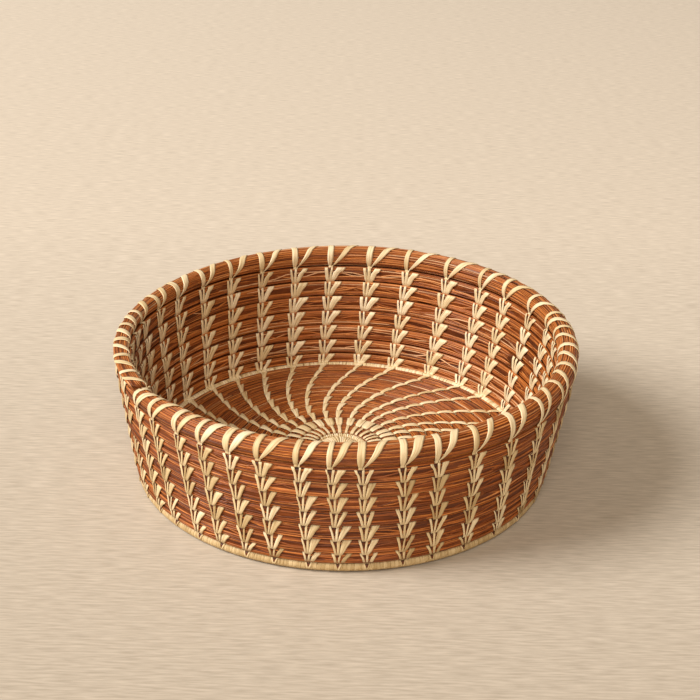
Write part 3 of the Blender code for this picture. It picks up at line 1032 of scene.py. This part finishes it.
def addWraps(name, coil, wraps, look, nodes, seed):
    draw = random.Random(seed)
    tubes = []
    for angle, width in wraps:
        tone = draw.uniform(*look["tones"])
        slant = draw.uniform(-wrap["slant"], wrap["slant"]) * width
        rings = []
        for side in range(look["sides"]):
            share = side / look["sides"]
            around = fullTurn * side / look["sides"]
            up = math.sin(math.radians(around))
            # Painted shade: the corner ring's wraps grow darker towards their underside
            low = smooth((-up - wrap["shadeFrom"]) / (1 - wrap["shadeFrom"]))
            toneWithShade = tone * (1 - low) if look["paintedShade"] else tone
            ring = []
            for out, off in wrap["profile"]:
                at = angle + width / 2 * out * look["overlap"] + slant * up
                where = coilPoint(coil, at, around, look["thickness"] * off)
                ring.append((where, (out * wrap["acrossShare"], share * wrap["alongLength"], toneWithShade)))
            rings.append(ring)
        tubes.append(rings)
    return rollTubes(name, tubes, raffiaMaterial, nodes, closedRings=True)


def evenWraps(first, last, count, seed):
    draw = random.Random(seed)
    shares = [draw.uniform(*wrap["widths"]) for _ in range(count)]
    scale = (last - first) / sum(shares)
    wraps, at = [], first
    for share in shares:
        wraps.append((at + share * scale / 2, share * scale))
        at += share * scale
    return wraps


buttonEnd = fullTurn * (basket["buttonTurns"] + 1)
firstCount, secondCount, thirdCount = wrap["buttonCounts"]

addCore("corner_core", cornerCoil, 0.0, fullTurn, raffiaMaterial, ["corner_coil"])
addCore("button_core", buttonCoil, wrap["buttonStart"], buttonEnd - wrap["buttonCut"],
        raffiaMaterial, ["center_button"])
addWraps("corner_wraps", cornerCoil, evenWraps(0.0, fullTurn, wrap["cornerCount"], seed=51),
         wrap["corner"], ["corner_coil"], seed=52)
addWraps("inner_line_wraps", beadCoil, evenWraps(0.0, fullTurn, wrap["lineCount"], seed=53),
         wrap["line"], ["corner_coil"], seed=54)
buttonWraps = (evenWraps(wrap["buttonWrapStart"], fullTurn, firstCount, seed=55)
               + evenWraps(fullTurn, fullTurn * 2, secondCount, seed=56)
               + evenWraps(fullTurn * 2, buttonEnd - wrap["buttonWrapCut"], thirdCount, seed=57))
addWraps("button_wraps", buttonCoil, buttonWraps, wrap["button"], ["center_button"], seed=58)

# The studio: a pale floor, darker towards the front as painted light, a soft lamp at the left, a large
# fainter one in front, and a dim sky

studio = {
    "floorSize": 8.0,
    "floorFalloffColours": ((0.0, (0.49, 0.41, 0.32)), (0.16, (0.575, 0.49, 0.39)), (0.36, (0.71, 0.605, 0.485)),
                     (1.0, (0.79, 0.68, 0.55))),  # from the front to the back: painted light that falls off towards the front
    "floorDepth": (-0.25, 1.5),
    "floorRoughness": 0.9,
    "threadScale": (40.0, 420.0, 1.0),
    "threadNoise": {"Scale": 2.0, "Detail": 4.0},
    "threadShades": ((0.3, (0.82, 0.81, 0.79)), (0.7, (1.12, 1.125, 1.13))),
    "lamps": {
        "leftLamp": {"azimuth": 194.0, "height": 38.5, "distance": 10.0, "size": 4.8, "power": 1215.0,
                     "colour": (1.0, 0.995, 0.985)},
        "frontLamp": {"azimuth": 270.0, "height": 40.0, "distance": 3.0, "size": 1.8, "power": 50.0,
                      "colour": (1.0, 0.91, 0.79)},
    },
    "skyColour": (1.0, 0.83, 0.65),
    "skyStrength": 0.225,
    "roomColour": (0.60, 0.51, 0.41),
}


def makeFloor():
    bm = bmesh.new()
    bmesh.ops.create_grid(bm, x_segments=1, y_segments=1, size=studio["floorSize"])
    mesh = bpy.data.meshes.new("studio_floor")
    bm.to_mesh(mesh)
    bm.free()
    material, tree, shader = startMaterial("studioFloor")
    shader.inputs["Roughness"].default_value = studio["floorRoughness"]
    coordinates = addNode(tree, "ShaderNodeTexCoord").outputs["Object"]
    parts = addNode(tree, "ShaderNodeSeparateXYZ", {"Vector": coordinates})
    near, far = studio["floorDepth"]
    depth = addNode(tree, "ShaderNodeMapRange", {"Value": parts.outputs["Y"], "From Min": near,
                                                 "From Max": far})
    paintedFalloff = addRamp(tree, depth.outputs["Result"], studio["floorFalloffColours"])
    stretched = addNode(tree, "ShaderNodeMapping", {"Vector": coordinates, "Scale": studio["threadScale"]})
    noise = addNode(tree, "ShaderNodeTexNoise", {"Vector": stretched.outputs[0], **studio["threadNoise"]})
    threads = addRamp(tree, noise.outputs["Fac"], studio["threadShades"])
    colour = mixColours(tree, "MULTIPLY", 1.0, paintedFalloff, threads)
    tree.links.new(colour, shader.inputs["Base Color"])
    mesh.materials.append(material)
    floor = bpy.data.objects.new("studio_floor", mesh)
    bpy.context.collection.objects.link(floor)


def makeLights():
    for name, facts in studio["lamps"].items():
        lamp = bpy.data.lights.new(name, "AREA")
        lamp.shape = "DISK"
        lamp.size = facts["size"]
        lamp.energy = facts["power"]
        lamp.color = facts["colour"]
        turn, rise = math.radians(facts["azimuth"]), math.radians(facts["height"])
        way = Vector((math.cos(rise) * math.cos(turn), math.cos(rise) * math.sin(turn), math.sin(rise)))
        holder = bpy.data.objects.new(name, lamp)
        holder.location = way * facts["distance"]
        holder.rotation_euler = way.to_track_quat("Z", "Y").to_euler()
        bpy.context.collection.objects.link(holder)
    world = bpy.data.worlds.new("paleRoom")
    world.use_nodes = True
    tree = world.node_tree
    sky = tree.nodes["Background"]
    sky.inputs["Color"].default_value = (*studio["skyColour"], 1.0)
    sky.inputs["Strength"].default_value = studio["skyStrength"]
    room = addNode(tree, "ShaderNodeBackground", {"Color": (*studio["roomColour"], 1.0), "Strength": 1.0})
    rays = addNode(tree, "ShaderNodeLightPath").outputs
    seen = rays["Is Camera Ray"]
    for ray in ("Is Glossy Ray", "Is Transmission Ray"):
        seen = addNode(tree, "ShaderNodeMath", {0: seen, 1: rays[ray]}, operation="MAXIMUM").outputs[0]
    mixed = addNode(tree, "ShaderNodeMixShader", {0: seen, 1: sky.outputs[0], 2: room.outputs[0]})
    tree.links.new(mixed.outputs[0], tree.nodes["World Output"].inputs["Surface"])
    bpy.context.scene.world = world


makeFloor()
makeLights()
print("studio made")

# The camera, at the photograph's angle
view = {
    "place": (1.80 * mm, -641.5 * mm, 370.7 * mm),
    "down": 25.31,
    "roll": 1.16,
    "lens": 65.47,
    "sensor": 36.0,
}


def makeCamera():
    camera = bpy.data.cameras.new("camera")
    camera.lens = view["lens"]
    camera.sensor_width = view["sensor"]
    holder = bpy.data.objects.new("camera", camera)
    bpy.context.collection.objects.link(holder)
    down, roll = math.radians(view["down"]), math.radians(view["roll"])
    ahead = Vector((0.0, math.cos(down), -math.sin(down)))
    up = Vector((0.0, math.sin(down), math.cos(down)))
    right = Vector((1.0, 0.0, 0.0))
    turnedRight = right * math.cos(roll) + up * math.sin(roll)
    turnedUp = up * math.cos(roll) - right * math.sin(roll)
    matrix = Matrix((turnedRight, turnedUp, -ahead)).transposed().to_4x4()
    matrix.translation = Vector(view["place"])
    holder.matrix_world = matrix
    bpy.context.scene.camera = holder


makeCamera()
bpy.context.scene.view_settings.view_transform = "Standard"
